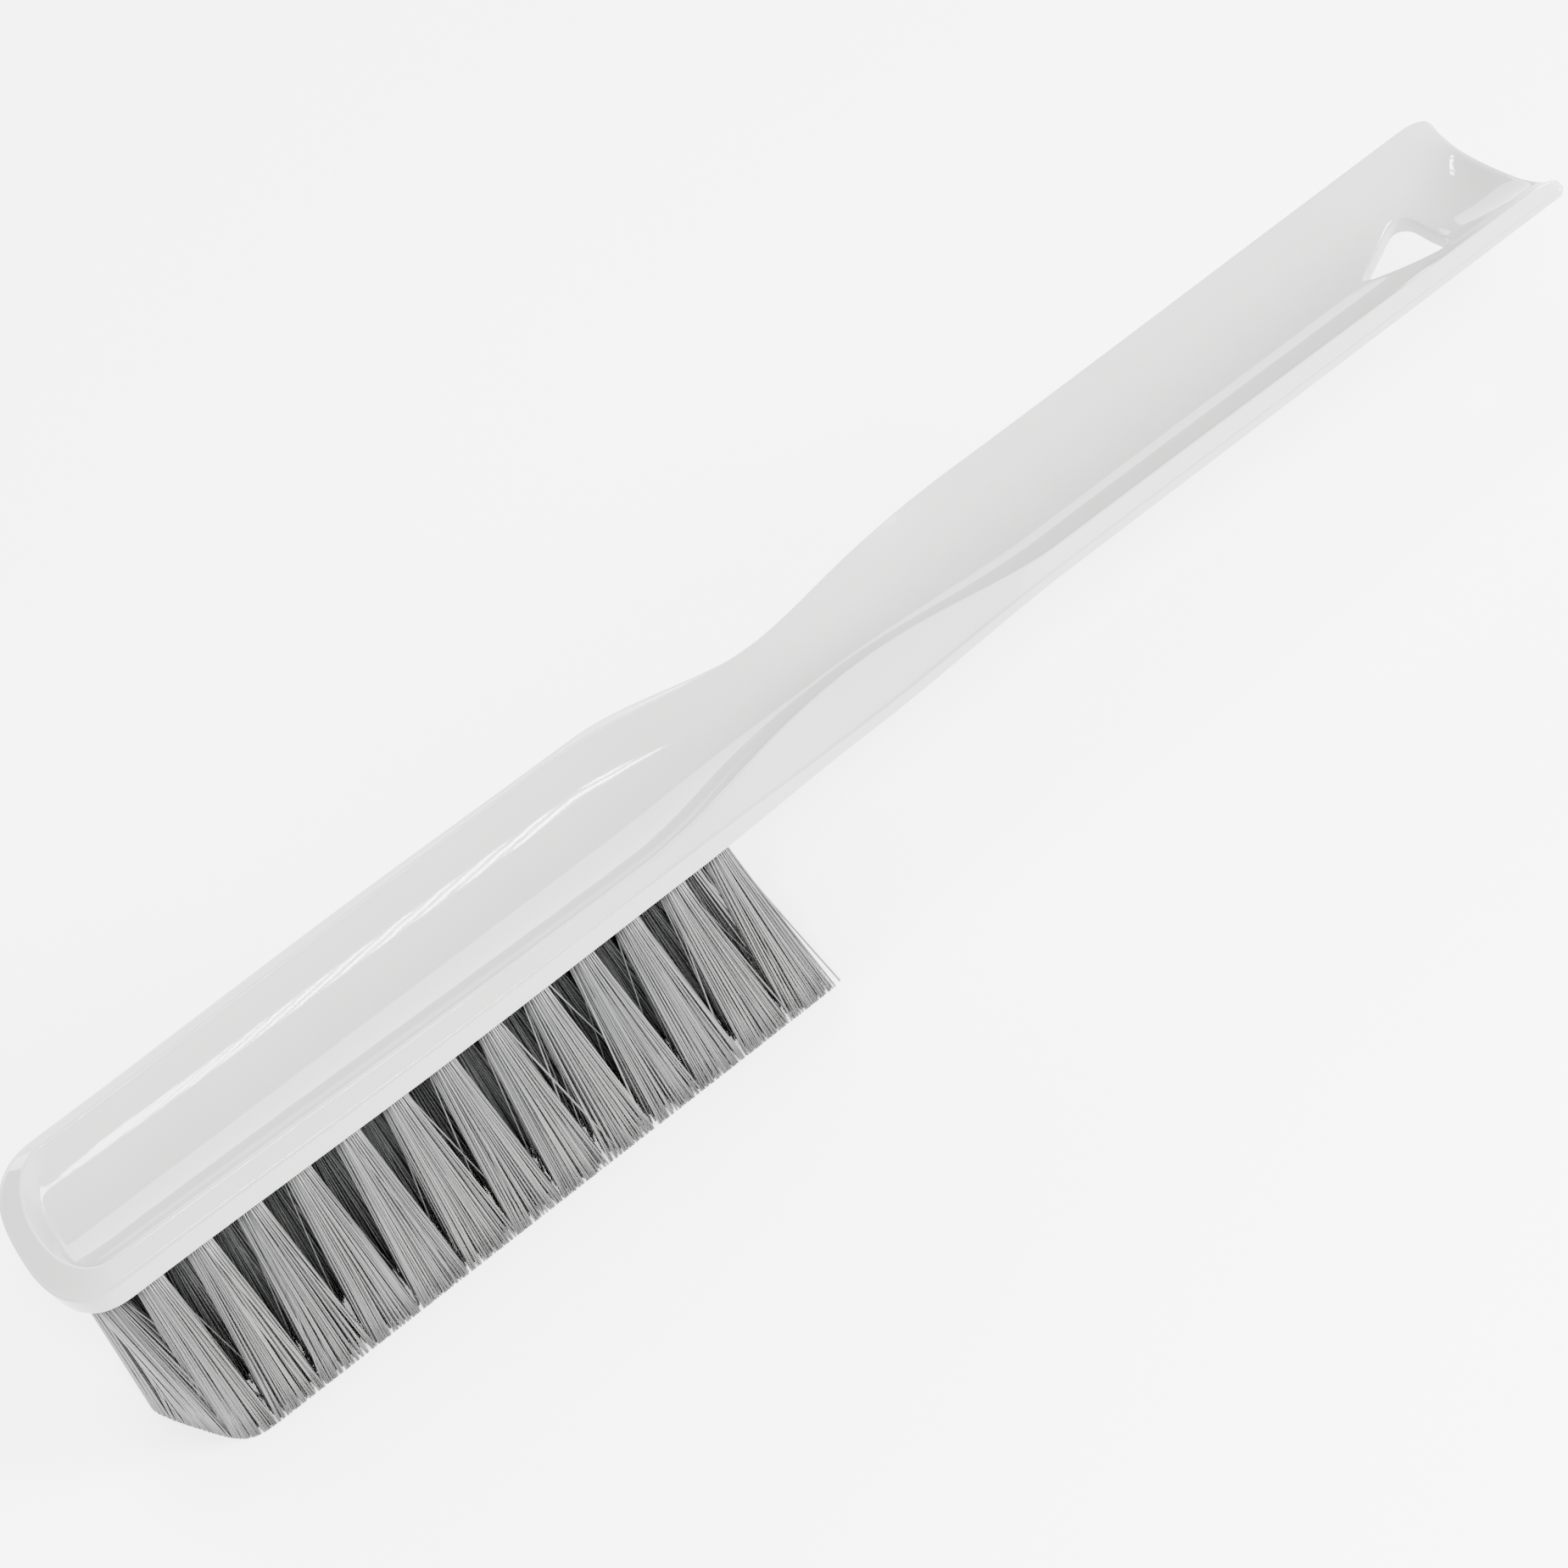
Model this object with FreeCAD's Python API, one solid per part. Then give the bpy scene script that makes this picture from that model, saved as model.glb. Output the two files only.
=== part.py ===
import FreeCAD, Part
import math
import os

# Hand brush moulded in one piece, with filament tufts set in blind holes under its head.
# Millimetres. The tufts are trimmed flat and stand on z = 0, +Z is up and +X runs along
# the handle to its tail. The row frame's origin is the middle of the footprint.

# Tufts
tuft_pitch = 9.43
tufts_in_row = 13
outer_row_x = 13.9            # first tuft of each outer row, from the head's end
inner_row_shift = 4.7         # the inner rows are staggered by this towards the head's end
tuft_hole_radius = 2.5
tuft_hole_depth = 6.5
hole_floor = 1.6              # plastic left between the holes and the dish
tuft_clearance = 0.1
collar_wall = 0.8
collar_height = 0.6
collar_root = 3.5             # the collar runs up into the belly by this much
tuft_gap = 0.6                # space between neighbouring tufts at their tips
fan_centre_x = 92.0           # tips spread lengthways away from this station
fan_ratio = 1.06
inner_lean = 0.4              # sideways lean at the tips
outer_lean = 1.0

# Anchors: flat staples pressed across the bottom of each hole
anchor_bite = 0.35            # reach into the wall on each side
anchor_width = 2.4
anchor_thickness = 0.35
anchor_fold = 0.9             # folded filament between the anchor and the end of the hole

# Body, measured along x from the head's end
body_length = 320.0
head_corner_run = 12.0        # length of the rounded end of the head
crest_end_inset = 3.9         # how far the dish's end stands in from the head's end
tail_corner_radius = 2.5
crest_height = 50.0           # rim of the dish above the trimmed tips
rim_land = 0.6                # flat land along the rim
outer_roundness = 2.6         # superellipse exponents of the head's end, seen from above
crest_roundness = 2.0
blank_depth = 20.0            # working depth of the outer form, cut back to the skirt
head_half_width = 19.3
head_bulge = 0.9              # the head is this much wider in its middle
waist_half_width = 15.9
grip_half_width = 16.9
tail_half_width = 17.4
neck_overlap = 5.0            # the last tufts stand this far past where the neck starts
neck_run = 38.0               # from the head to the waist
grip_run = 45.0               # from the waist to the full grip
grip_wall = 3.4
waist_wall = 6.6
rim_margin = 5.1              # from the outer rows of holes to the side of the head

# Stations along the body: where it starts, is widest, is waisted and runs out
head_start = head_corner_run
head_end = outer_row_x + tuft_pitch * (tufts_in_row - 1) - neck_overlap
head_middle = head_start + 0.57 * (head_end - head_start)
waist = head_end + neck_run
grip_start = waist + grip_run
tail = body_length

# Half width at those stations, and how far the rim stands in from it
outer_half = [(head_start, head_half_width), (head_middle, head_half_width + head_bulge),
              (head_end, head_half_width + 0.5 * head_bulge), (waist, waist_half_width),
              (grip_start, grip_half_width), (tail, tail_half_width)]
bevel_run = [(head_start, 3.7), (head_end - 7.0, 2.6), (waist - 2.0, 6.0), (grip_start, 1.1), (tail, 0.6)]

# Depths below the rim: foot of the bevel, foot of the skirt, floor of the dish, belly
bevel_depth = [(head_start, 1.5), (head_end, 1.5), (waist, 5.8), (grip_start, 3.0), (tail, 3.0)]
skirt_depth = [(head_start, 5.6), (head_end, 5.7), (waist, 8.4), (grip_start, 5.2), (tail, 4.7)]
dish_depth = [(head_start, 5.0), (head_end, 5.0), (waist, 5.6), (grip_start, 8.2), (tail, 8.6)]
belly_side_depth = [(head_start, 6.4), (head_end, 6.4), (waist, 9.2), (grip_start, 6.8), (tail, 6.6)]
head_wall = tuft_hole_depth + hole_floor - collar_height
walls = [head_wall, head_wall, waist_wall, grip_wall + 0.4, grip_wall]
belly_depth = [(x, depth + wall) for (x, depth), wall in zip(dish_depth, walls)]
skirt_wall = 2.2              # the belly stands in from the skirt by this much
dish_end_draft = 1.4          # run of the dish's end wall over its depth
tail_rise_length = 16.0       # dish and belly both rise to the tail's edge over this length
tail_rise = 4.3
tail_rise_power = 3.5
tail_lip = 1.5                # the belly stops short of the tail's edge
belly_root = 1.5              # the belly runs up into the skirt by this much

# Hanging hole, a rounded triangle that points to the head
hang_hole_back = 15.2         # from the tail to the flat back of the hole
hang_hole_length = 18.8       # from the back to the sharp corner before rounding
hang_hole_angle = 50.0        # angle of the pointed corner, degrees
hang_tip_radius = 1.2
hang_back_radius = 3.2

# The four rows are evenly spaced across the head
outer_row_y = head_half_width - rim_margin
inner_row_y = outer_row_y / 3.0

# Tufts round the head's end: (hole x, hole y, tip x, tip y)
end_tuft_x = 5.2
corner_tuft_x = 6.6
corner_tuft_y = outer_row_y - 3.8
end_tufts = [(end_tuft_x, 0.0, end_tuft_x - 2.8, 0.0),
             (corner_tuft_x, corner_tuft_y, corner_tuft_x + 0.3, corner_tuft_y + 0.9),
             (corner_tuft_x, -corner_tuft_y, corner_tuft_x + 0.3, -corner_tuft_y - 0.9)]

station_step = 8.0
tail_step = 2.5


def eased(stations, x):
    """Value at x, easing in and out between the stations on either side."""
    if x <= stations[0][0]:
        return stations[0][1]
    for (x0, v0), (x1, v1) in zip(stations, stations[1:]):
        if x <= x1:
            t = (x - x0) / (x1 - x0)
            return v0 + (v1 - v0) * t * t * (3.0 - 2.0 * t)
    return stations[-1][1]


def spread(start, stop, step=station_step):
    """Evenly spaced stations from start to stop, about one step apart."""
    count = max(2, int(round((stop - start) / step)))
    return [start + (stop - start) * i / count for i in range(count + 1)]


def tail_lift(x):
    """How far the dish and the belly have risen at x, on their way to the tail's edge."""
    past = min(1.0, max(0.0, (x - tail + tail_rise_length) / tail_rise_length))
    return tail_rise * past ** tail_rise_power


def lengthways(stop):
    """Stations from the head's end to stop, closer together where the tail rises."""
    rise_start = tail - tail_rise_length
    return spread(0.0, rise_start) + spread(rise_start, stop, tail_step)[1:]


def spline(points, first=None, last=None):
    curve = Part.BSplineCurve()
    if first is None:
        curve.interpolate(points)
    else:
        curve.interpolate(Points=points, InitialTangent=first, FinalTangent=last)
    return curve.toShape()


def plan_loop(half, end_x, roundness, inset, height):
    """Closed outline seen from above: rounded head end, eased sides, straight tail.

    half gives the half width at x, end_x is the tip of the head's end, roundness its
    superellipse exponent, inset moves the outline in, and height gives z at x.
    """
    def at(x, y):
        return FreeCAD.Vector(x, y, height(x))

    run = head_start - end_x
    reach = half(head_start) - inset
    arc = []
    for i in range(-10, 11):
        angle = math.pi * i / 20.0
        c = math.cos(angle) ** (2.0 / roundness)
        s = math.copysign(abs(math.sin(angle)) ** (2.0 / roundness), angle)
        arc.append(at(head_start - run * c, reach * s))
    edge = tail - inset
    corner = edge - tail_corner_radius
    side = [at(x, half(x) - inset) for x in spread(head_start, corner)]
    near = [FreeCAD.Vector(p.x, -p.y, p.z) for p in side]
    along = FreeCAD.Vector(1, 0, 0)
    bend = tail_corner_radius * (1.0 - math.sqrt(0.5))
    end_half = half(corner) - inset
    end_z = height(corner)

    def corner_arc(sign):
        return Part.Arc(FreeCAD.Vector(corner, sign * end_half, end_z),
                        FreeCAD.Vector(edge - bend, sign * (end_half - bend), end_z),
                        FreeCAD.Vector(edge, sign * (end_half - tail_corner_radius), end_z)).toShape()

    back = Part.makeLine(FreeCAD.Vector(edge, end_half - tail_corner_radius, end_z),
                         FreeCAD.Vector(edge, tail_corner_radius - end_half, end_z))
    far_side = spline(side)
    near_side = spline(near)
    head = spline(arc, along.negative(), along)
    return Part.Wire(Part.__sortEdges__([head, far_side, corner_arc(1), back, corner_arc(-1), near_side]))


def outer_half_at(x):
    return eased(outer_half, x)


crest_half = [(x, outer_half_at(x) - run) for x, run in bevel_run]


def crest_half_at(x):
    return eased(crest_half, x)


def body_blank():
    """Outer form: vertical skirt, bevel up to the rim, everything above the belly."""
    bottom = plan_loop(outer_half_at, 0.0, outer_roundness, 0.0, lambda x: crest_height - blank_depth)
    bevel = plan_loop(outer_half_at, 0.0, outer_roundness, 0.0, lambda x: crest_height - eased(bevel_depth, x))
    rim = plan_loop(crest_half_at, crest_end_inset, crest_roundness, 0.0, lambda x: crest_height)
    return Part.makeLoft([bottom, bevel, rim], True, True)


def under_skirt():
    """Block below the foot of the skirt, whose edge dips along the waist."""
    reach = 2.0 * head_half_width
    edge = [FreeCAD.Vector(x, -reach, crest_height - eased(skirt_depth, x))
            for x in spread(-station_step, tail + station_step)]
    corners = [edge[-1], FreeCAD.Vector(edge[-1].x, -reach, 0), FreeCAD.Vector(edge[0].x, -reach, 0), edge[0]]
    side = Part.Face(Part.Wire([spline(edge)] + Part.makePolygon(corners).Edges))
    return side.extrude(FreeCAD.Vector(0, 2.0 * reach, 0))


def belly_half(x):
    return outer_half_at(x) - skirt_wall


def belly_surface(x, y):
    """Height of the rounded underside at x, y."""
    depth = eased(belly_depth, x) - tail_lift(x)
    rise = depth - eased(belly_side_depth, x)
    radius = (belly_half(x) ** 2 + rise ** 2) / (2.0 * rise)
    return crest_height - depth + radius - math.sqrt(radius ** 2 - y ** 2)


def belly_section(x):
    half = belly_half(x)
    top = crest_height - eased(skirt_depth, x) + belly_root
    corners = [FreeCAD.Vector(x, half, belly_surface(x, half)), FreeCAD.Vector(x, half, top),
               FreeCAD.Vector(x, -half, top), FreeCAD.Vector(x, -half, belly_surface(x, half))]
    arc = Part.Arc(corners[3], FreeCAD.Vector(x, 0, belly_surface(x, 0)), corners[0]).toShape()
    return Part.Wire(Part.makePolygon(corners).Edges + [arc])


def belly():
    """Rounded underside that backs the dish and holds the tuft holes."""
    loft = Part.makeLoft([belly_section(x) for x in lengthways(tail - tail_lip)], True, False)
    floor = plan_loop(belly_half, skirt_wall, outer_roundness, 0.0, lambda x: 0.0)
    return loft.common(Part.Face(floor).extrude(FreeCAD.Vector(0, 0, crest_height)))


def dish_section(x):
    half = crest_half_at(x) - rim_land
    depth = eased(dish_depth, x) - tail_lift(x)
    above = crest_height + blank_depth
    rim = [FreeCAD.Vector(x, half, crest_height), FreeCAD.Vector(x, half, above),
           FreeCAD.Vector(x, -half, above), FreeCAD.Vector(x, -half, crest_height)]
    arc = Part.Arc(rim[3], FreeCAD.Vector(x, 0, crest_height - depth), rim[0]).toShape()
    return Part.Wire(Part.makePolygon(rim).Edges + [arc])


def dish():
    """Hollow of the dish and of the grip, open at the tail and walled at the head."""
    stations = lengthways(tail) + [tail + station_step]
    trough = Part.makeLoft([dish_section(x) for x in stations], True, False)
    end_x = crest_end_inset + rim_land
    depth = eased(dish_depth, head_start)
    slope = dish_end_draft / depth
    reach = 2.0 * head_half_width

    def half(x):
        return crest_half_at(x) - 0.5 * rim_land

    def loop(height):
        draft = (crest_height - height) * slope
        return plan_loop(half, end_x + draft, crest_roundness, draft, lambda x: height)

    wall = Part.makeLoft([loop(crest_height - depth - 1.0), loop(crest_height + 1.0)], True, True)
    runout = Part.makeBox(tail, 2.0 * reach, 2.0 * blank_depth,
                          FreeCAD.Vector(head_middle, -reach, crest_height - blank_depth))
    return trough.common(wall.fuse(runout))


def hanging_hole():
    back = tail - hang_hole_back
    half = hang_hole_length * math.tan(math.radians(hang_hole_angle / 2.0))
    corners = [FreeCAD.Vector(back - hang_hole_length, 0, 0), FreeCAD.Vector(back, -half, 0),
               FreeCAD.Vector(back, half, 0)]
    block = Part.Face(Part.makePolygon(corners + corners[:1])).extrude(FreeCAD.Vector(0, 0, 2.0 * crest_height))

    def upright(near_x):
        return [e for e in block.Edges if abs(e.Vertexes[0].Z - e.Vertexes[-1].Z) > crest_height
                and abs(e.Vertexes[0].X - near_x) < 0.1]

    block = block.makeFillet(hang_back_radius, upright(back))
    return block.makeFillet(hang_tip_radius, upright(back - hang_hole_length))


def tuft_places():
    """Name, hole x, hole y, tip x and tip y of every tuft."""
    rows = [("tuft_row1", -1, outer_row_y, outer_row_x, outer_lean),
            ("tuft_row2", -1, inner_row_y, outer_row_x - inner_row_shift, inner_lean),
            ("tuft_row3", 1, inner_row_y, outer_row_x - inner_row_shift, inner_lean),
            ("tuft_row4", 1, outer_row_y, outer_row_x, outer_lean)]
    places = []
    for row, side, y, first_x, lean in rows:
        for i in range(tufts_in_row):
            x = first_x + tuft_pitch * i
            tip_x = fan_centre_x + (x - fan_centre_x) * fan_ratio
            places.append(("%s_%02d" % (row, i + 1), x, side * y, tip_x, side * (y + lean)))
    for i, (x, y, tip_x, tip_y) in enumerate(end_tufts):
        places.append(("tuft_end_%d" % (i + 1), x, y, tip_x, tip_y))
    return places


def tip_radius(place, places):
    """Largest tip that keeps tuft_gap from every neighbour."""
    nearest = min(math.hypot(place[3] - other[3], place[4] - other[4]) for other in places if other != place)
    return (min(nearest, tuft_pitch) - tuft_gap) / 2.0


def circle_wire(x, y, z, radius):
    return Part.Wire(Part.makeCircle(radius, FreeCAD.Vector(x, y, z)))


def anchor(x, y, mouth):
    """Flat staple across the hole, lying along x, with the fold of the tuft above it."""
    length = 2.0 * (tuft_hole_radius + anchor_bite)
    top = mouth + tuft_hole_depth - anchor_fold
    corner = FreeCAD.Vector(x - length / 2.0, y - anchor_thickness / 2.0, top - anchor_width)
    return Part.makeBox(length, anchor_thickness, anchor_width, corner)


def tuft(x, y, tip_x, tip_y, radius, mouth):
    """Bundle of filaments: a round root in its hole that fans out to the trimmed tips."""
    root_radius = tuft_hole_radius - tuft_clearance
    root = Part.makeCylinder(root_radius, tuft_hole_depth - tuft_clearance, FreeCAD.Vector(x, y, mouth))
    fan = Part.makeLoft([circle_wire(tip_x, tip_y, 0.0, radius), circle_wire(x, y, mouth, root_radius)],
                        True, True)
    return root.fuse(fan).removeSplitter()


places = tuft_places()
tips = [tip_radius(place, places) for place in places]
mouths = [belly_surface(place[1], place[2]) - collar_height for place in places]
anchors = [anchor(place[1], place[2], mouth) for place, mouth in zip(places, mouths)]

collars = [Part.makeCylinder(tuft_hole_radius + collar_wall, collar_height + collar_root,
                             FreeCAD.Vector(place[1], place[2], mouth))
           for place, mouth in zip(places, mouths)]
holes = [Part.makeCylinder(tuft_hole_radius, tuft_hole_depth + 1.0,
                           FreeCAD.Vector(place[1], place[2], mouth - 1.0))
         for place, mouth in zip(places, mouths)]

body = body_blank().cut(under_skirt()).fuse([belly()] + collars)
body = body.cut(dish()).cut(hanging_hole())
body = body.cut(holes).cut(anchors).removeSplitter()

tufts = {}
for place, radius, mouth, staple in zip(places, tips, mouths, anchors):
    tufts[place[0]] = tuft(place[1], place[2], place[3], place[4], radius, mouth).cut(staple)

nodes = {"brush_body": body, "tuft_anchors": Part.Compound(anchors)}
nodes.update(tufts)

head_reach = min(place[3] - radius for place, radius in zip(places, tips))
footprint_middle = (min(head_reach, 0.0) + body_length) / 2.0
os.makedirs("parts", exist_ok=True)
for name, shape in nodes.items():
    placed = shape.copy()
    placed.translate(FreeCAD.Vector(-footprint_middle, 0, 0))
    placed.exportStep("parts/" + name + ".step")
    box = placed.BoundBox
    print("%-18s %2d solid(s) valid %s  x %7.1f %7.1f  y %6.1f %6.1f  z %5.1f %5.1f  volume %8.0f" % (
        name, len(placed.Solids), placed.isValid(), box.XMin, box.XMax, box.YMin, box.YMax,
        box.ZMin, box.ZMax, placed.Volume))
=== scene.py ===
import math

import bmesh
import bpy
import numpy as np
from mathutils import Matrix, Quaternion, Vector


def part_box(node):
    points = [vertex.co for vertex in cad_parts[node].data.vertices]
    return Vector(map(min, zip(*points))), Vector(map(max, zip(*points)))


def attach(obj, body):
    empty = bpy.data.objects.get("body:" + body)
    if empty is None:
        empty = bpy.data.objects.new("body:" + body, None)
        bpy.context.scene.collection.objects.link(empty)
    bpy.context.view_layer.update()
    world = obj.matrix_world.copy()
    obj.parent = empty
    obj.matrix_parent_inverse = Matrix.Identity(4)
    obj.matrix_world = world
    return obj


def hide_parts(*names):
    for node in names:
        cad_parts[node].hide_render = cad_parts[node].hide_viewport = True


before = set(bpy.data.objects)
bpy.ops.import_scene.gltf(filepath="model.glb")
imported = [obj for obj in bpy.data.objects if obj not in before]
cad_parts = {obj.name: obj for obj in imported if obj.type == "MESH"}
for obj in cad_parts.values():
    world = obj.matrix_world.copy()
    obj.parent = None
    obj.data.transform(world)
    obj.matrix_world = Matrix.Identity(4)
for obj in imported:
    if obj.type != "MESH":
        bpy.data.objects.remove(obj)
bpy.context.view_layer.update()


# ---------------------------------------------------------------------------------------
# Moulded body: one injection moulding in pale grey polypropylene, which is head, neck and
# grip in one. A dish over the head runs on as a trough to the tail, with a rolled rim, a
# bevel and a skirt round it, and a rounded belly below that takes the tufts.
# ---------------------------------------------------------------------------------------

MM = 0.001
body_low, body_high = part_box("brush_body")
head_x = body_low[0] / MM                # the head's end, in the row frame
length = (body_high[0] - body_low[0]) / MM
rim_z = body_high[2] / MM                # the rim of the dish above the trimmed tips

# Stations along the body, in millimetres from the head's end, and what holds at each.
turn = 12.0                              # the rounded end of the head runs this far
outer_half = [(turn, 19.3), (75, 20.2), (122, 19.8), (160, 15.9), (205, 16.9), (length, 17.4)]
bevel_run = [(turn, 3.7), (115, 2.6), (158, 6.0), (205, 1.1), (length, 0.6)]
bevel_depth = [(turn, 1.5), (122, 1.5), (160, 5.8), (205, 3.0), (length, 3.0)]
skirt_depth = [(turn, 5.6), (122, 5.7), (160, 8.4), (205, 5.2), (length, 4.7)]
dish_depth = [(turn, 5.0), (122, 5.0), (160, 5.6), (205, 8.2), (length, 8.6)]
belly_side = [(turn, 6.4), (122, 6.4), (160, 9.2), (205, 6.8), (length, 6.6)]
belly_depth = [(turn, 12.5), (122, 12.5), (160, 12.2), (205, 12.0), (length, 12.0)]
rim_rise = [(150, 0.0), (177, 1.6), (205, 0.3), (length, 0.3)]
crest_end, belly_inset, rim_land, rim_crown = 3.9, 2.2, 0.6, 0.25
skirt_draft, parting_land, parting_lip = 0.25, 0.8, 0.05
tail_corner, tail_edge, rise_run, rise_height, rise_power = 1.2, 1.3, 16.0, 4.3, 3.5
droop_run, droop_height, bow_run, bow_height = 6.0, 4.2, 10.0, 1.7
hole_middle, hole_back, hole_tip = 297.6, 304.1, 286.2


def eased(stations, x):
    """Value at x, easing in and out between the stations on either side."""
    places, values = np.array(stations).T
    left = np.clip(np.searchsorted(places, x) - 1, 0, len(places) - 2)
    t = np.clip((x - places[left]) / (places[left + 1] - places[left]), 0.0, 1.0)
    return values[left] + (values[left + 1] - values[left]) * t * t * (3.0 - 2.0 * t)


# Half width of the rim, which stands in from the body's side by the bevel's run.
crest_half = [(x, float(eased(outer_half, x)) - run) for x, run in bevel_run]


# Places of the tufts: four staggered rows and three more round the head's end. Each has its
# name, its hole's x and y, and the x and y of the middle of its tips.
tuft_pitch, tufts_in_row, outer_row_x, outer_row_y = 9.43, 13, 13.9, 14.2
inner_row_y, stagger = outer_row_y / 3.0, 4.7
fan_centre, fan_ratio = 92.0, 1.06
tuft_places = []
outer_lean, inner_lean = 2.9, 0.4
for row, side, across, first, lean in (("row1", -1, outer_row_y, outer_row_x, outer_lean),
                                       ("row2", -1, inner_row_y, outer_row_x - stagger, inner_lean),
                                       ("row3", 1, inner_row_y, outer_row_x - stagger, inner_lean),
                                       ("row4", 1, outer_row_y, outer_row_x, outer_lean)):
    for i in range(tufts_in_row):
        x = first + tuft_pitch * i
        tuft_places.append(("%s_%02d" % (row, i + 1), x, side * across,
                            fan_centre + (x - fan_centre) * fan_ratio, side * (across + lean)))
corner_y = outer_row_y - 3.8
tuft_places += [("end_1", 5.2, 0.0, 2.4, 0.0), ("end_2", 6.6, corner_y, 6.0, corner_y + 1.6),
                ("end_3", 6.6, -corner_y, 6.0, -corner_y - 1.6)]
tuft_xy = np.array([place[1:3] for place in tuft_places])
tip_xy = np.array([place[3:5] for place in tuft_places])


def tail_round(x):
    """How far a side has drawn in at x, on the quarter circle of the tail's corner."""
    past = np.clip(x - (length - tail_corner), 0.0, tail_corner)
    return tail_corner - np.sqrt(tail_corner ** 2 - past ** 2)


def rim_height(x):
    """Height of the rim at x, which rounds over and down at the tail's end."""
    past = np.clip((x - (length - droop_run)) / droop_run, 0.0, 1.0)
    return rim_z + eased(rim_rise, x) - droop_height * (1.0 - np.sqrt(1.0 - past ** 2))


def tail_rise(x):
    """How far dish and belly have both risen at x, ever more steeply towards the tail's edge."""
    return rise_height * np.clip((x - length + rise_run) / rise_run, 0.0, 1.0) ** rise_power


def dish_height(x, y):
    """Floor of the dish: in each cross-section the arc of a circle that passes through both
    rims and is dish_depth deep, or less where the tail rises."""
    half = eased(crest_half, x) - rim_land - tail_round(x) * 0.5
    depth = eased(dish_depth, x) + rim_height(x) - rim_z - tail_rise(x)
    radius = (half ** 2 + depth ** 2) / (2.0 * depth)
    return rim_height(x) - depth + radius - np.sqrt(np.maximum(radius ** 2 - y ** 2, 0.0))


def belly_height(x, y):
    """Underside: in each cross-section an arc, deepest in the middle."""
    half = eased(outer_half, x) - belly_inset
    depth = eased(belly_depth, x) - tail_rise(x)
    rise = depth - eased(belly_side, x)
    radius = (half ** 2 + rise ** 2) / (2.0 * rise)
    return rim_z - depth + radius - np.sqrt(np.maximum(radius ** 2 - y ** 2, 0.0))


def head_turn(angle, end_x, half, roundness):
    """Point on the head's rounded end: a superellipse from one side round to the other."""
    across = np.sign(np.sin(angle)) * np.abs(np.sin(angle)) ** (2.0 / roundness)
    along = np.abs(np.cos(angle)) ** (2.0 / roundness)
    return np.stack([turn - (turn - end_x) * along, half * across], -1)


def smooth_max(a, b, blend):
    """The larger of a and b, with a rounded changeover that is blend wide."""
    return 0.5 * (a + b + np.sqrt((a - b) ** 2 + blend ** 2))


def rounded_corners(corners, cuts, steps):
    """Polyline through corners (columns, corner, xyz) whose inner corners are quadratic curves
    that start and end cuts[i] from the corner, each drawn with that many steps."""
    rows = []
    for i, cut in enumerate(cuts, start=1):
        here, before, after = corners[:, i], corners[:, i - 1], corners[:, i + 1]
        back, on = before - here, after - here
        back_length = np.linalg.norm(back, axis=1, keepdims=True)
        on_length = np.linalg.norm(on, axis=1, keepdims=True)
        start = here + back / back_length * np.minimum(cut, 0.48 * back_length)
        stop = here + on / on_length * np.minimum(cut, 0.48 * on_length)
        for t in np.linspace(0.0, 1.0, steps + 1):
            rows.append((1 - t) ** 2 * start + 2 * t * (1 - t) * here + t ** 2 * stop)
    return np.stack(rows, 1)


# Stations of the columns along one side, from the tail to the head, closer at the tail's
# rounded edge and even across the hanging hole.
hole_reach, hole_cells, block_cells = 14.0, 12, 6
edge_angles = np.radians(np.linspace(90, 0, 7))
edge_x = length - tail_edge * (1.0 - np.sin(edge_angles))
hole_x = hole_middle + hole_reach * np.linspace(1, -1, 2 * hole_cells + 1)
side_x = np.concatenate([edge_x, np.linspace(edge_x[-1], hole_x[0], 14)[1:-1], hole_x,
                         np.linspace(hole_x[-1], turn, 260)[1:]])
edge_draw = np.zeros(len(side_x))
edge_draw[:len(edge_angles)] = tail_edge * (1.0 - np.cos(edge_angles))
turn_angles = np.linspace(-np.pi / 2, np.pi / 2, 61)[1:-1]

# Plan position of each column at four places: spine, rim, bevel foot and belly edge.
half_crest = eased(crest_half, side_x) - tail_round(side_x)
half_outer = eased(outer_half, side_x) - tail_round(side_x)
near = {"spine": np.stack([side_x, 0 * side_x], -1), "rim": np.stack([side_x, -half_crest], -1),
        "outer": np.stack([side_x, -half_outer], -1),
        "belly": np.stack([side_x, belly_inset - half_outer], -1)}
ends = {"spine": np.tile([turn, 0.0], (len(turn_angles), 1)),
        "rim": head_turn(turn_angles, crest_end, crest_half[0][1], 2.0),
        "outer": head_turn(turn_angles, 0.0, outer_half[0][1], 2.6),
        "belly": head_turn(turn_angles, belly_inset, outer_half[0][1] - belly_inset, 2.6)}
plan = {key: np.concatenate([near[key], ends[key], near[key][::-1] * [1, -1]]) for key in near}
draw_in = np.concatenate([edge_draw, np.zeros(len(turn_angles)), edge_draw[::-1]])
columns = len(draw_in)


def inset(points, towards, distance):
    """Points moved that far towards others in plan."""
    way = towards - points
    return points + way / np.maximum(np.linalg.norm(way, axis=1, keepdims=True), 1e-6) * distance


def lifted(points, height):
    return np.concatenate([points, np.broadcast_to(height, (len(points),))[:, None]], axis=1)


def inner_rows(edge, fractions):
    """Plan points at those fractions of the way from the spine to an edge."""
    spine = plan["spine"]
    return spine[:, None] + fractions[None, :, None] * (edge - spine)[:, None]


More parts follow.
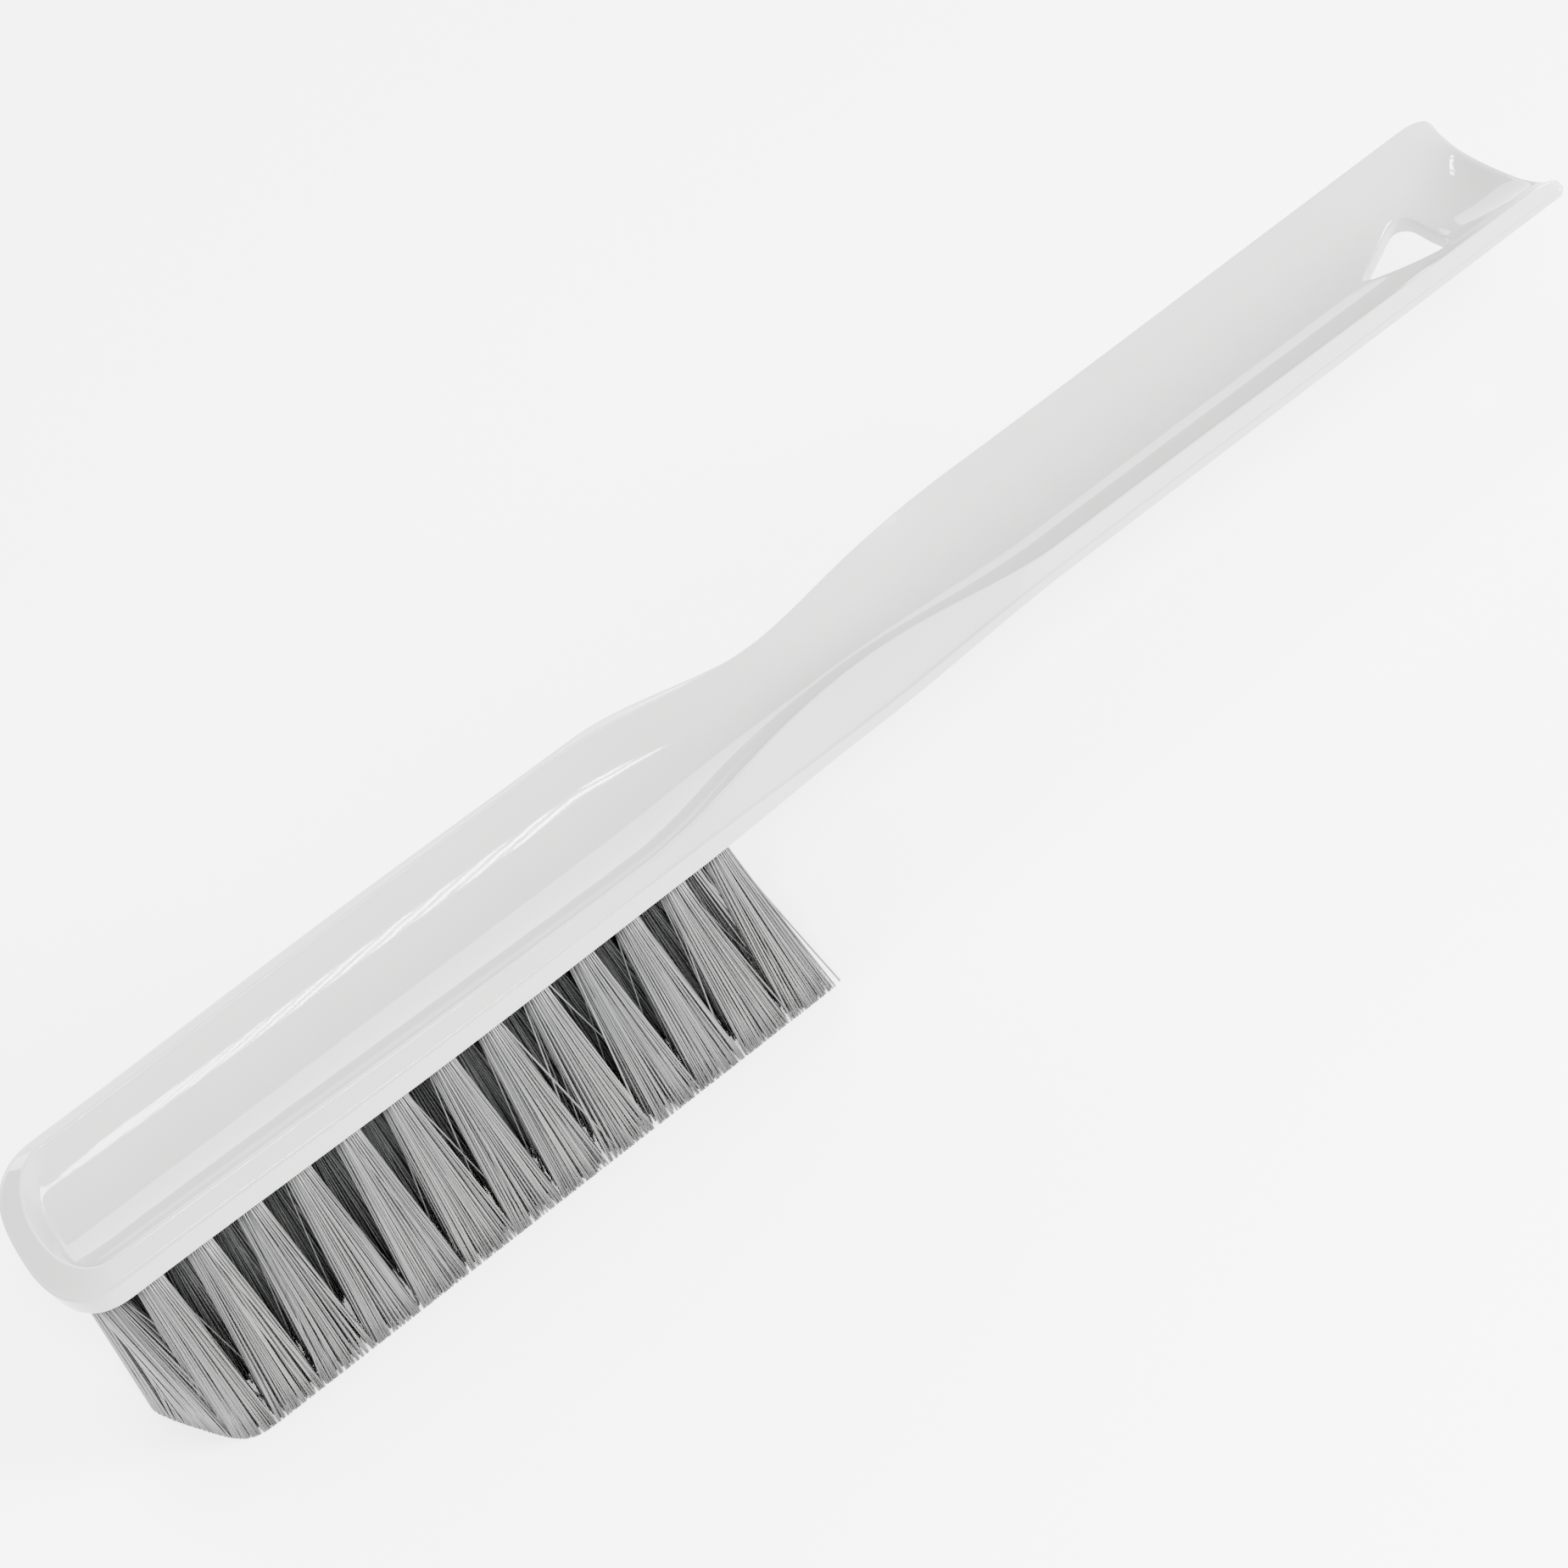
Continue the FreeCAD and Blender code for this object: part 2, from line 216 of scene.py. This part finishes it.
def hole_outline(angle):
    """Distance from the hole's middle to its edge in each direction. The hole is a triangle
    that points to the head, with a small round at its tip and larger ones at its back."""
    half_angle = math.radians(25.0)
    tip_r, back_r = 0.8, 3.0
    tip = np.array([hole_tip + tip_r / math.sin(half_angle), 0.0])
    back = np.array([hole_back - back_r, (hole_back - hole_tip) * math.tan(half_angle)])
    back[1] -= back_r * math.tan(math.pi / 4 + half_angle / 2.0)
    lean = np.linspace(math.pi, math.pi / 2 + half_angle, 20)
    turned = np.linspace(math.pi / 2 + half_angle, 0.0, 40)
    arc = [tip + tip_r * np.stack([np.cos(lean), np.sin(lean)], -1),
           back + back_r * np.stack([np.cos(turned), np.sin(turned)], -1),
           [[hole_back, 0.0]]]
    edge = np.concatenate(arc)
    finer = [np.linspace(a, b, 12, endpoint=False) for a, b in zip(edge, edge[1:])]
    edge = np.concatenate(finer + [edge[-1:]]) - [hole_middle, 0.0]
    bearing = np.arctan2(edge[:, 1], edge[:, 0])[::-1]
    return np.interp(np.abs(angle), bearing, np.hypot(edge[:, 0], edge[:, 1])[::-1])


def open_hole(points, fractions, edge, grow):
    """Draws the grid's lines away from the hole: cells of a square block round its middle are
    left out, the block's edge moves onto the hole's outline, grown by grow, and the lines
    between there and hole_reach share the rest evenly. Returns the points and each one's
    square distance from the middle."""
    side = np.abs(plan["spine"][:, 0] - hole_middle) <= hole_reach + 1e-6
    u = (plan["spine"][:, 0] - hole_middle)[:, None] / hole_reach + 0 * fractions
    v = fractions[None, :] / (hole_cells * row_step) + 0 * u
    square = np.maximum(np.abs(u), v)
    inside = side[:, None] & (square <= 1.0 + 1e-6)
    safe = np.maximum(square, 1e-6)
    across = edge[:, 1:]
    far_x = hole_reach * u / safe
    far_y = across * v / safe * (hole_cells * row_step)
    bearing = np.arctan2(far_y, far_x)
    rim_r = hole_outline(bearing) + grow
    keep = block_cells / hole_cells
    share = np.clip((square - keep) / (1.0 - keep), 0.0, 1.0)
    x = hole_middle + (1 - share) * rim_r * np.cos(bearing) + share * far_x
    y = (1 - share) * rim_r * np.sin(bearing) + share * far_y
    moved = points.copy()
    moved[inside] = np.stack([x, y], -1)[inside]
    return moved, np.where(inside, square, 9.0)


row_step = 0.07
fractions = np.concatenate([np.arange(hole_cells + 1) * row_step, [0.87, 0.9]])
hole_round = 0.6
crest_in = inset(plan["rim"], plan["spine"], rim_land)
dish, dish_square = open_hole(inner_rows(crest_in, fractions), fractions, crest_in, hole_round)
belly, belly_square = open_hole(inner_rows(plan["belly"], fractions), fractions, plan["belly"], hole_round)

# The dish is the higher of its floor and the wall at the head's end, rounded where they meet.
wall_slope, wall_foot_round = 3.6, 0.7
end_wall = rim_z - wall_slope * np.linalg.norm(crest_in[:, None] - dish, axis=2)
end_wall -= eased([(turn, 0.0), (60.0, 12.0)], dish[..., 0])
dish_z = smooth_max(dish_height(dish[..., 0], dish[..., 1]), end_wall, wall_foot_round)
fan = plan["spine"][:, 0] <= turn
dish_z[fan, 0] = dish_z[fan, 0].mean()

# The skin sinks slightly over each hole, where the plastic behind it is thicker.
sink_depth, sink_radius = 0.015, 2.4
from_holes = np.linalg.norm(dish[:, :, None] - tuft_xy[None, None], axis=3)
dish_z -= sink_depth * np.exp(-0.5 * (from_holes / sink_radius) ** 2).sum(-1)
belly_z = belly_height(belly[..., 0], belly[..., 1])
top_rows = np.concatenate([dish, dish_z[..., None]], -1)
low_rows = np.concatenate([belly, belly_z[..., None]], -1)[:, ::-1]

# From the dish over the rim and bevel, round the parting edge and skirt, and in to the belly.
rim_x = plan["rim"][:, 0]
foot = rim_z - eased(skirt_depth, rim_x)
bevel_foot = np.minimum(rim_z - eased(bevel_depth, rim_x), rim_height(rim_x) - 0.4)
foot_land = np.minimum(parting_land, 0.3 * np.linalg.norm(plan["outer"] - plan["rim"], axis=1))[:, None]
corners = np.stack([
    top_rows[:, -1],
    lifted(inset(plan["rim"], plan["spine"], 0.5 * rim_land), rim_height(rim_x) + rim_crown),
    lifted(inset(plan["outer"], plan["rim"], foot_land), bevel_foot + parting_lip),
    lifted(plan["outer"], bevel_foot),
    lifted(inset(plan["outer"], plan["spine"], skirt_draft), foot),
    lifted(plan["belly"], foot),
    lifted(plan["belly"], belly_height(plan["belly"][:, 0], plan["belly"][:, 1])),
    low_rows[:, 0]], 1)
edge_rows = rounded_corners(corners, [0.6, 0.3, 0.45, 0.35, 0.5, 0.8], 5)
grid = np.concatenate([top_rows, edge_rows, low_rows], 1)

# The tail's edge is rounded: there each column draws in towards the middle of the wall.
middle = 0.5 * (top_rows + low_rows[:, ::-1])
middle = np.concatenate([middle, np.repeat(middle[:, -1:], edge_rows.shape[1], 1), middle[:, ::-1]], 1)
way = middle - grid
span = np.maximum(np.linalg.norm(way, axis=2, keepdims=True), 1e-6)
grid += way / span * np.minimum(draw_in[:, None, None], 0.42 * span)

# The tail's end is bowed: its two corners reach farther than its middle.
last = np.clip((grid[..., 0] - (length - bow_run)) / bow_run, 0.0, 1.0)
grid[..., 0] += bow_height * last ** 2 * (grid[..., 1] / half_outer[0]) ** 2

# One quad between each two columns and rows, but for the block where the hole is.
rows = grid.shape[1]
keep = block_cells / hole_cells + 1e-6
square = np.full((columns, rows), 9.0)
square[:, :len(fractions)] = dish_square
square[:, rows - len(fractions):] = belly_square[:, ::-1]
number = np.arange(columns * rows).reshape(columns, rows)
cells = np.stack([number[:-1, :-1], number[1:, :-1], number[1:, 1:], number[:-1, 1:]], -1)
in_block = np.stack([square[:-1, :-1], square[1:, :-1], square[1:, 1:], square[:-1, 1:]], -1).max(-1) <= keep
body_faces = cells[~in_block].tolist()

# The tail's end face: strips between the dish and the belly, and a plate across each rim.
inner = len(fractions)
for column in (number[0], number[-1]):
    body_faces += np.stack([column[:inner - 1], column[1:inner], column[::-1][1:inner],
                            column[::-1][:inner - 1]], -1).tolist()
    body_faces.append(column[inner - 1:rows - inner + 1].tolist())
body_points = grid.reshape(-1, 3)

# The hole's wall: rings from the dish's side down to the belly's, rounded over at both.
on_edge = np.abs(square - block_cells / hole_cells) < 1e-6
bearing = np.round(np.arctan2(grid[..., 1], grid[..., 0] - hole_middle), 5)
bearing[bearing <= -3.14159] = 3.14159
bearing[np.abs(grid[..., 1]) < 1e-6] = np.abs(bearing[np.abs(grid[..., 1]) < 1e-6])


def edge_ring(part):
    """Numbers of the grid's points round the hole on one surface, in order of bearing."""
    mask = on_edge & part
    angles, first = np.unique(bearing[mask], return_index=True)
    return angles, number[mask][first]


upper = np.zeros((columns, rows), dtype=bool)
upper[:, :inner] = True
angles, ring_top = edge_ring(upper)
ring_low = edge_ring(~upper)[1]
turns = np.radians([18, 36, 54, 72, 90])
rings = []
for surface, sign, order in ((dish_height, -1.0, turns), (belly_height, 1.0, turns[::-1])):
    for angle in order:
        reach = hole_outline(angles) + hole_round * (1.0 - math.sin(angle))
        x, y = hole_middle + reach * np.cos(angles), reach * np.sin(angles)
        z = surface(x, y) + sign * hole_round * (1.0 - math.cos(angle))
        rings.append(np.stack([x, y, z], -1))
ring_numbers = [ring_top] + [len(body_points) + i * len(angles) + np.arange(len(angles))
                             for i in range(len(rings))] + [ring_low]
body_points = np.concatenate([body_points] + rings)
for above, below in zip(ring_numbers, ring_numbers[1:]):
    body_faces += np.stack([above, np.roll(above, -1), np.roll(below, -1), below], -1).tolist()
body_points[:, 0] += head_x

# Collars: each is a ring with a rounded lip, a closed band that runs up into the belly. Its
# mouth stands a little below the belly on the ring's outer side.
mouth_radius, collar_wall, collar_height, mouth_outwards = 2.5, 0.3, 0.05, 1.12
mouth_z = belly_height(tuft_xy[:, 0], mouth_outwards * tuft_xy[:, 1]) - collar_height
lip = np.radians(np.linspace(-90, 0, 5))
outer_r = mouth_radius + collar_wall
band = np.concatenate([[[mouth_radius, 3.0], [mouth_radius, 0.0]],
                       np.stack([outer_r - 0.4 + 0.4 * np.cos(lip), 0.4 + 0.4 * np.sin(lip)], -1),
                       [[outer_r + 0.2, 3.4]]])
around = np.linspace(0, 2 * np.pi, 28, endpoint=False)
ring = np.stack([band[None, :, 0] * np.cos(around)[:, None], band[None, :, 0] * np.sin(around)[:, None],
                 np.broadcast_to(band[None, :, 1], (len(around), len(band)))], -1)
places = np.stack([tuft_xy[:, 0] + head_x, tuft_xy[:, 1], mouth_z], -1)
collar_points = (places[:, None, None] + ring[None]).reshape(-1, 3)
ring_number = np.arange(len(ring) * len(band)).reshape(len(ring), len(band))
ring_cells = np.stack([ring_number, np.roll(ring_number, -1, 0), np.roll(np.roll(ring_number, -1, 0), -1, 1),
                       np.roll(ring_number, -1, 1)], -1).reshape(-1, 4)
offsets = len(body_points) + ring_number.size * np.arange(len(places))
body_faces += (offsets[:, None, None] + ring_cells[None]).reshape(-1, 4).tolist()
body_points = np.concatenate([body_points, collar_points])


def mesh_object(name, points, faces, material):
    """Mesh object from points in millimetres and their faces, with seams closed by joining
    points that coincide and with every face turned outwards."""
    mesh = bpy.data.meshes.new(name)
    mesh.from_pydata((np.asarray(points) * MM).tolist(), [], faces)
    shape = bmesh.new()
    shape.from_mesh(mesh)
    bmesh.ops.remove_doubles(shape, verts=shape.verts, dist=0.004 * MM)
    bmesh.ops.dissolve_degenerate(shape, dist=0.001 * MM, edges=shape.edges)
    bmesh.ops.recalc_face_normals(shape, faces=shape.faces)
    shape.to_mesh(mesh)
    shape.free()
    mesh.polygons.foreach_set("use_smooth", np.ones(len(mesh.polygons), dtype=bool))
    mesh.materials.append(material)
    obj = bpy.data.objects.new(name, mesh)
    bpy.context.scene.collection.objects.link(obj)
    return obj


def add_node(tree, kind, inputs=(), **settings):
    """Adds a node with its settings. inputs pairs an input's name or number with a value, or
    with another node's output to link."""
    node = tree.nodes.new(kind)
    for key, value in settings.items():
        setattr(node, key, value)
    for key, value in inputs:
        if isinstance(value, bpy.types.NodeSocket):
            tree.links.new(value, node.inputs[key])
        else:
            node.inputs[key].default_value = value
    return node


def linear(hex_colour):
    """Linear colour from an sRGB hex value."""
    srgb = np.array([int(hex_colour[i:i + 2], 16) for i in (1, 3, 5)]) / 255.0
    value = np.where(srgb <= 0.04045, srgb / 12.92, ((srgb + 0.055) / 1.055) ** 2.4)
    return (*value.tolist(), 1.0)


def new_material(name):
    """An empty node material with its shader, and the node tree to add to."""
    material = bpy.data.materials.new(name)
    material.use_nodes = True
    return material, material.node_tree, material.node_tree.nodes["Principled BSDF"]


# Gloss moulded polypropylene: pale grey, faintly mottled where the melt flowed, with the
# soft waviness of a moulded skin and hair-fine handling scratches in its gloss.
plastic, tree, shader = new_material("gloss moulded polypropylene")
place = add_node(tree, "ShaderNodeTexCoord").outputs["Object"]
mottle = add_node(tree, "ShaderNodeTexNoise", [("Vector", place), ("Scale", 1 / (14 * MM)), ("Detail", 3.0)])
tone = add_node(tree, "ShaderNodeMix", [("Factor", mottle.outputs["Fac"]), (6, linear("#868685")),
                                        (7, linear("#8b8b8a"))], data_type="RGBA")
tree.links.new(tone.outputs[2], shader.inputs["Base Color"])
stretch = add_node(tree, "ShaderNodeMapping", [("Vector", place), ("Scale", (0.12, 1.0, 1.0))])
scratch = add_node(tree, "ShaderNodeTexNoise", [("Vector", stretch.outputs["Vector"]),
                                                ("Scale", 1 / (0.5 * MM)), ("Detail", 4.0)])
rough = add_node(tree, "ShaderNodeMapRange", [("Value", scratch.outputs["Fac"]), ("From Min", 0.35),
                                              ("From Max", 0.75), ("To Min", 0.05), ("To Max", 0.08)])
tree.links.new(rough.outputs["Result"], shader.inputs["Roughness"])
wave = add_node(tree, "ShaderNodeTexNoise", [("Vector", place), ("Scale", 1 / (3 * MM)), ("Detail", 2.0)])
bump = add_node(tree, "ShaderNodeBump", [("Height", wave.outputs["Fac"]), ("Strength", 0.02),
                                         ("Distance", 0.3 * MM)])
tree.links.new(bump.outputs["Normal"], shader.inputs["Normal"])
shader.inputs["IOR"].default_value = 1.49

body = mesh_object("moulded_body", body_points, body_faces, plastic)
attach(body, "root")
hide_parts("brush_body")

# ---------------------------------------------------------------------------------------
# Anchors: flat galvanised wire, cut and pressed across the fold of each tuft into the walls
# of its hole. They stay where the frame has them, closed in by plastic and filament.
# ---------------------------------------------------------------------------------------

# Galvanised wire: dull blue-grey zinc, drawn lengthways, which leaves fine lines along it.
wire, tree, shader = new_material("galvanised flat wire")
shader.inputs["Metallic"].default_value = 1.0
place = add_node(tree, "ShaderNodeTexCoord").outputs["Object"]
drawn = add_node(tree, "ShaderNodeMapping", [("Vector", place), ("Scale", (0.1, 1.0, 1.0))])
lines = add_node(tree, "ShaderNodeTexNoise", [("Vector", drawn.outputs["Vector"]), ("Scale", 1 / (0.1 * MM))])
tone = add_node(tree, "ShaderNodeMix", [("Factor", lines.outputs["Fac"]), (6, linear("#8f9396")),
                                        (7, linear("#b4b7b9"))], data_type="RGBA")
tree.links.new(tone.outputs[2], shader.inputs["Base Color"])
shader.inputs["Roughness"].default_value = 0.38
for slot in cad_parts["tuft_anchors"].material_slots:
    slot.material = wire

# ---------------------------------------------------------------------------------------
# Tufts: bundles of drawn polyester filament, folded double into their holes and trimmed flat
# together after filling. Each springs out of its collar, fans, and crosses its neighbours.
# ---------------------------------------------------------------------------------------

filament_radius, filaments_in_tuft, filament_sides, filament_steps = 0.18, 150, 4, 6
tip_reach, end_tip_reach, tip_scatter, trim_scatter = 4.85, 5.2, 0.18, 0.04
stray_share, stray_x, stray_y = 0.04, 3.6, 1.2
root_depth, bow_scatter, fan_power = 0.8, 0.10, 1.08

# Outline of the trimmed tips: straight sides, and a blunt point past the head's end.
trim_turn, tip_edge_x, tip_edge_y = 15.0, 1.6, 20.0
point_slope, point_round, corner_power = 0.6, 3.0, 10
draws = np.random.default_rng(73)


def filament_paths(base, mouth, tip, reach):
    """Centre lines of one tuft's filaments. Their roots fill the hole evenly, on a sunflower
    spiral. Their tips keep the same order, but fill a square with rounded corners, reach to
    each side of the middle, as tufts do that press on their neighbours. A few stray, and none
    passes the outline: one that would is drawn back along the line to the outline's middle."""
    order = np.arange(filaments_in_tuft)
    out = np.sqrt((order + 0.5) / filaments_in_tuft)
    around = order * math.pi * (3.0 - math.sqrt(5.0)) + draws.uniform(0, 2 * math.pi)
    disc = out[:, None] * np.stack([np.cos(around), np.sin(around)], -1)
    root = base + disc * (mouth_radius - 2.0 * filament_radius)
    steep = np.abs(disc[:, 1]) > np.abs(disc[:, 0])
    major, minor = np.where(steep, disc[:, ::-1].T, disc.T)
    minor = out * np.arctan(minor / np.abs(major)) * 4.0 / math.pi
    major = out * np.sign(major)
    square = np.where(steep, [minor, major], [major, minor]).T
    spread = draws.normal(0.0, tip_scatter, (filaments_in_tuft, 2))
    stray = draws.random((filaments_in_tuft, 1)) < stray_share
    spread += stray * draws.normal(0.0, 1.0, (filaments_in_tuft, 2)) * [stray_x, stray_y]
    end = tip + square * reach + spread
    ahead = np.minimum(end[:, 0] - trim_turn, 0.0)
    beside = np.abs(end[:, 1]) / tip_edge_y
    point = point_slope * (np.hypot(end[:, 1], point_round) - point_round)
    before = (point - ahead) / (trim_turn + tip_edge_x)
    rounded = (beside ** corner_power + before ** corner_power) ** (1 / corner_power)
    past = np.where(ahead < 0.0, rounded, beside)
    shrink = 1.0 / np.maximum(past, 1.0)
    end[:, 0] += ahead * (shrink - 1.0)
    end[:, 1] *= shrink
    end_z = np.abs(draws.normal(0.0, trim_scatter, filaments_in_tuft))
    t = np.linspace(0.0, 1.0, filament_steps)[None, :, None]
    bow = draws.normal(0.0, bow_scatter, (filaments_in_tuft, 1, 2)) * np.sin(math.pi * t)
    flat = root[:, None] + (end - root)[:, None] * t ** fan_power + bow
    height = (mouth + root_depth) + (end_z[:, None] - mouth - root_depth) * t[..., 0]
    return np.concatenate([flat, height[..., None]], -1)


def tubes(paths, radius, sides):
    """Round tubes along paths (tube, step, xyz): each step has a ring square to the path.
    Returns points and faces, with a flat cap on each of a tube's ends."""
    tangent = np.gradient(paths, axis=1)
    tangent /= np.linalg.norm(tangent, axis=2, keepdims=True)
    across = np.cross(tangent, [0.0, 1.0, 0.0])
    across /= np.linalg.norm(across, axis=2, keepdims=True)
    over = np.cross(tangent, across)
    angle = np.linspace(0, 2 * np.pi, sides, endpoint=False)
    ring = (np.cos(angle)[:, None] * across[:, :, None] + np.sin(angle)[:, None] * over[:, :, None])
    points = paths[:, :, None] + radius * ring
    count, steps = paths.shape[:2]
    index = np.arange(count * steps * sides).reshape(count, steps, sides)
    wrapped = np.roll(index, -1, 2)
    walls = np.stack([index[:, :-1], wrapped[:, :-1], wrapped[:, 1:], index[:, 1:]], -1).reshape(-1, 4)
    caps = np.concatenate([index[:, -1], index[:, 0, ::-1]])
    return points.reshape(-1, 3), walls.tolist() + caps.tolist()


# Drawn polyester filament: mid grey, each filament its own shade, satin with a narrow
# lengthways glint. The shade comes from an attribute that is one value per filament.
polyester, tree, shader = new_material("drawn polyester filament")
shade = add_node(tree, "ShaderNodeAttribute", attribute_name="filament_shade").outputs["Fac"]
tone = add_node(tree, "ShaderNodeMix", [("Factor", shade), (6, linear("#2f2f2f")), (7, linear("#4d4d4c"))],
                data_type="RGBA")
tree.links.new(tone.outputs[2], shader.inputs["Base Color"])
shader.inputs["Roughness"].default_value = 0.36
shader.inputs["IOR"].default_value = 1.57

for (name, *_), base, tip, mouth in zip(tuft_places, tuft_xy, tip_xy, mouth_z):
    paths = filament_paths(base, mouth, tip, end_tip_reach if name.startswith("end") else tip_reach)
    paths[..., 0] += head_x
    points, faces = tubes(paths, filament_radius, filament_sides)
    mesh = bpy.data.meshes.new("filaments_" + name)
    mesh.from_pydata((points * MM).tolist(), [], faces)
    mesh.polygons.foreach_set("use_smooth", np.ones(len(mesh.polygons), dtype=bool))
    shades = mesh.attributes.new("filament_shade", "FLOAT", "POINT")
    shade_each = np.repeat(draws.random(filaments_in_tuft), filament_steps * filament_sides)
    shades.data.foreach_set("value", shade_each)
    mesh.materials.append(polyester)
    tuft = bpy.data.objects.new("filaments_" + name, mesh)
    bpy.context.scene.collection.objects.link(tuft)
    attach(tuft, "root")
    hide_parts("tuft_" + name)

# ---------------------------------------------------------------------------------------
# Studio: white paper on the floor, even light all round, softboxes behind and beside the
# tail, a fill from the front and a row of small lamps overhead.
# ---------------------------------------------------------------------------------------

floor_mesh = bpy.data.meshes.new("studio_floor")
floor_mesh.from_pydata([(-3, -3, 0), (3, -3, 0), (3, 3, 0), (-3, 3, 0)], [], [(0, 1, 2, 3)])
floor = bpy.data.objects.new("studio_floor", floor_mesh)
bpy.context.scene.collection.objects.link(floor)
paper, tree, shader = new_material("white studio paper")
shader.inputs["Base Color"].default_value = linear("#f6f6f6")
shader.inputs["Roughness"].default_value = 0.9
floor_mesh.materials.append(paper)

world = bpy.data.worlds.new("studio")
world.use_nodes = True
world.node_tree.nodes["Background"].inputs["Color"].default_value = (1, 1, 1, 1)
world.node_tree.nodes["Background"].inputs["Strength"].default_value = 2.5
bpy.context.scene.world = world


def area_light(name, place, target, size, power, turn_about=0.0, mirrored=True):
    """Rectangular lamp at a place in metres, facing a target, its long side along X when it
    hangs overhead, and turned about its own axis. Gloss doesn't show one that isn't mirrored."""
    lamp = bpy.data.lights.new(name, "AREA")
    lamp.shape = "RECTANGLE"
    lamp.size, lamp.size_y = size
    lamp.energy = power
    light = bpy.data.objects.new(name, lamp)
    facing = Vector(target) - Vector(place)
    light.rotation_mode = "QUATERNION"
    light.rotation_quaternion = facing.to_track_quat("-Z", "Y") @ Quaternion((0, 0, 1), turn_about)
    light.location = place
    light.visible_glossy = mirrored
    bpy.context.scene.collection.objects.link(light)


# A row of small lamps hangs over the head, farther apart towards the handle. A wide softbox
# stands behind, one is low beside the tail, and a fill in front lights the tufts.
row_start, row_end, row_height = np.array([-0.221, -0.004]), np.array([0.087, 0.181]), 0.93
lamp_gaps = np.linspace(1.0, 2.6, 15)
lamp_share, lamp_width, row_power = 0.3, 0.09, 7.0
lamp_places = (np.cumsum(lamp_gaps) - lamp_gaps / 2) / lamp_gaps.sum()
row_turn = math.atan2(*(row_end - row_start)[::-1])
row_length = float(np.linalg.norm(row_end - row_start))
for i, (share, gap) in enumerate(zip(lamp_places, lamp_gaps / lamp_gaps.sum())):
    across, along = (row_start + (row_end - row_start) * share).tolist()
    area_light("row lamp %d" % (i + 1), (across, along, row_height), (across, along, 0.0),
               (lamp_share * gap * row_length, lamp_width), row_power * gap, row_turn)
area_light("rear softbox", (0.10, 1.10, 0.40), (0.0, 0.0, 0.04), (1.3, 0.8), 38.0)
area_light("tail softbox", (0.85, -0.62, 0.30), (-0.05, -0.01, 0.03), (0.45, 0.45), 75.0)
area_light("front fill", (-0.17, -0.62, 0.80), (-0.17, -0.02, 0.04), (0.44, 0.26), 40.0, mirrored=False)

# The view: from above the near long side, turned a little towards the head's end and
# tilted, so that the brush runs up to the right.
view_azimuth, view_elevation, view_roll = 0.2940, 0.7854, 0.4386
view_distance, focal_in_frames = 438.98 * MM, 3177.8 / 1849.0
aim = np.array([head_x + 141.06, -21.05, rim_z]) * MM
forward = np.array([math.sin(view_azimuth) * math.cos(view_elevation),
                    math.cos(view_azimuth) * math.cos(view_elevation), -math.sin(view_elevation)])
level = np.array([math.cos(view_azimuth), -math.sin(view_azimuth), 0.0])
upward = np.cross(level, forward)
sight = np.eye(4)
sight[:3, 0] = math.cos(view_roll) * level - math.sin(view_roll) * upward
sight[:3, 1] = math.sin(view_roll) * level + math.cos(view_roll) * upward
sight[:3, 2] = -forward
sight[:3, 3] = aim - forward * view_distance
camera_data = bpy.data.cameras.new("camera")
camera_data.sensor_width = 36.0
camera_data.lens = camera_data.sensor_width * focal_in_frames
camera = bpy.data.objects.new("camera", camera_data)
camera.matrix_world = Matrix(sight.tolist())
bpy.context.scene.collection.objects.link(camera)
bpy.context.scene.camera = camera
